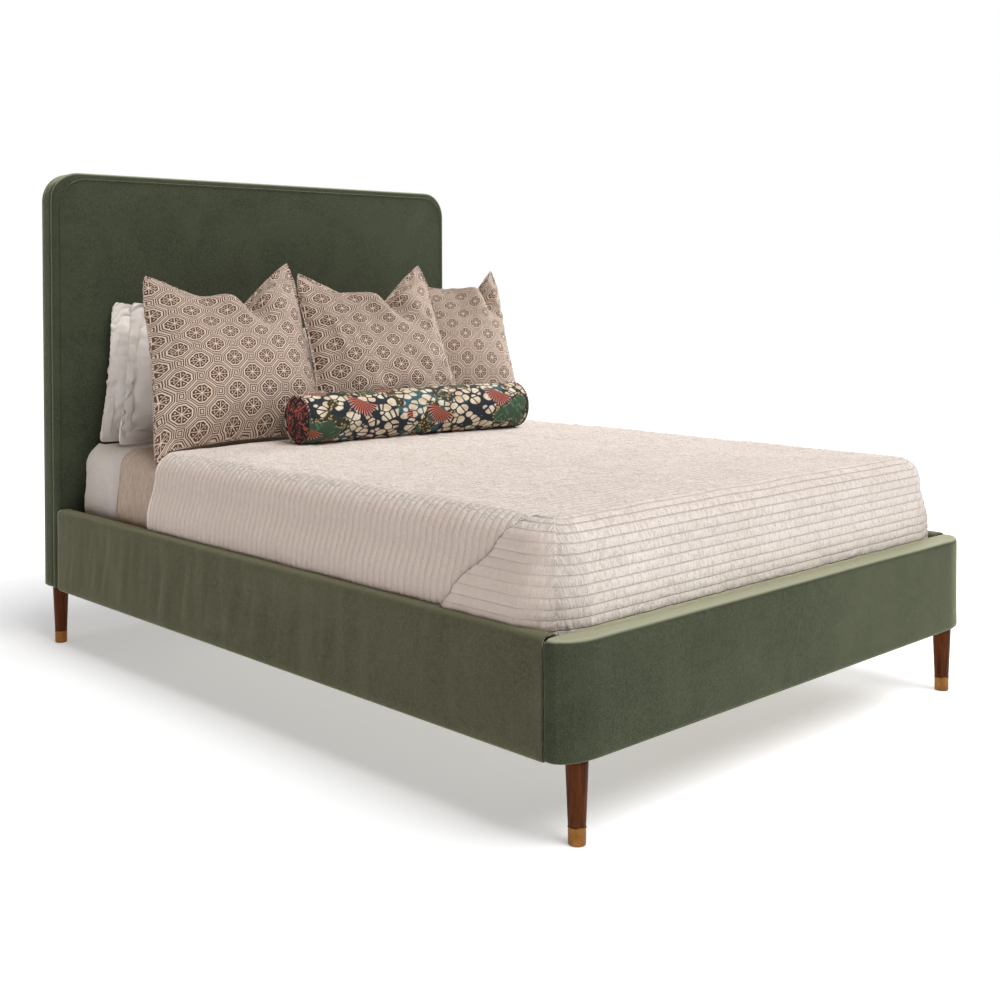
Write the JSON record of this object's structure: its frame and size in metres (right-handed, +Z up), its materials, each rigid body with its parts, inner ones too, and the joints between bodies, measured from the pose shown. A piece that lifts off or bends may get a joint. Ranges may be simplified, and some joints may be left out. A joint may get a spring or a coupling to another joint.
{
  "type": "upholstered bed",
  "caption": "Queen bed with an upholstered velvet headboard and rails on turned legs, slatted base, mattress, quilt and pillows.",
  "frame": {"origin": "on the floor, in the middle of the bed's outline", "axes": "+Z up, +Y towards the headboard, +X across the bed to the right of a sleeper lying on their back"},
  "size_m": [1.65, 2.232, 1.483],
  "materials": {
    "velvet": "matt pile velvet, olive green",
    "lining": "thin woven dust cloth",
    "plywood": "sanded birch plywood, unfinished",
    "hardwood": "planed hardwood, unfinished",
    "walnut": "satin walnut stain",
    "ferrule_brass": "brushed antique brass",
    "bracket_steel": "black powder coat",
    "glide": "black plastic foot",
    "ticking": "knitted mattress ticking",
    "white_cotton": "plain white cotton",
    "sand_cotton": "crinkled sand-coloured cotton",
    "quilt_cotton": "off-white channel-stitched cotton",
    "printed_linen": "natural linen printed with rosettes in octagons",
    "floral_cotton": "dark cotton with a leaf and petal print"
  },
  "bodies": {
    "frame": {"headboard_front_pad": "velvet", "headboard_border_band": "velvet", "headboard_panel": "plywood", "headboard_back_cover": "lining", "headboard_top_rail": "hardwood", "headboard_lower_rail": "hardwood", "headboard_stile_left": "hardwood", "headboard_stile_right": "hardwood", "footboard_cover": "velvet", "footboard_board": "hardwood", "footboard_corner_block_left": "hardwood", "footboard_corner_block_right": "hardwood", "side_rail_cover_left": "velvet", "side_rail_cover_right": "velvet", "side_rail_board_left": "hardwood", "side_rail_board_right": "hardwood", "slat_cleat_left": "hardwood", "slat_cleat_right": "hardwood", "corner_bracket_foot_left": "bracket_steel", "corner_bracket_foot_right": "bracket_steel", "corner_bracket_head_left": "bracket_steel", "corner_bracket_head_right": "bracket_steel", "centre_beam": "hardwood", "beam_hanger_foot": "bracket_steel", "beam_hanger_head": "bracket_steel", "centre_leg_1": "hardwood", "centre_leg_2": "hardwood", "slat_01": "plywood", "slat_02": "plywood", "slat_03": "plywood", "slat_04": "plywood", "slat_05": "plywood", "slat_06": "plywood", "slat_07": "plywood", "slat_08": "plywood", "slat_09": "plywood", "slat_10": "plywood", "leg_front_left": "walnut", "leg_front_right": "walnut", "leg_back_left": "walnut", "leg_back_right": "walnut", "ferrule_front_left": "ferrule_brass", "ferrule_front_right": "ferrule_brass", "ferrule_back_left": "ferrule_brass", "ferrule_back_right": "ferrule_brass"},
    "bedding": {"mattress": "ticking", "fitted_sheet": "white_cotton", "blanket": "sand_cotton", "quilt": "quilt_cotton", "bed_pillow_back_left": "white_cotton", "bed_pillow_back_right": "white_cotton", "bed_pillow_front_left": "white_cotton", "bed_pillow_front_right": "white_cotton", "euro_pillow_left": "printed_linen", "euro_pillow_centre": "printed_linen", "euro_pillow_right": "printed_linen", "bolster": "floral_cotton"},
    "glide_1": {"levelling_glide_1": "glide"},
    "glide_2": {"levelling_glide_2": "glide"}
  },
  "joints": [
    {"name": "mattress_lift", "type": "slide", "parent": "frame", "child": "bedding", "axis": [0, 0, 1], "range_m": [0, 0.35]},
    {"name": "glide_1_screw", "type": "slide", "parent": "frame", "child": "glide_1", "axis": [0, 0, 1], "range_m": [0, 0.0115]},
    {"name": "glide_2_screw", "type": "slide", "parent": "frame", "child": "glide_2", "axis": [0, 0, 1], "range_m": [0, 0.0115]}
  ]
}
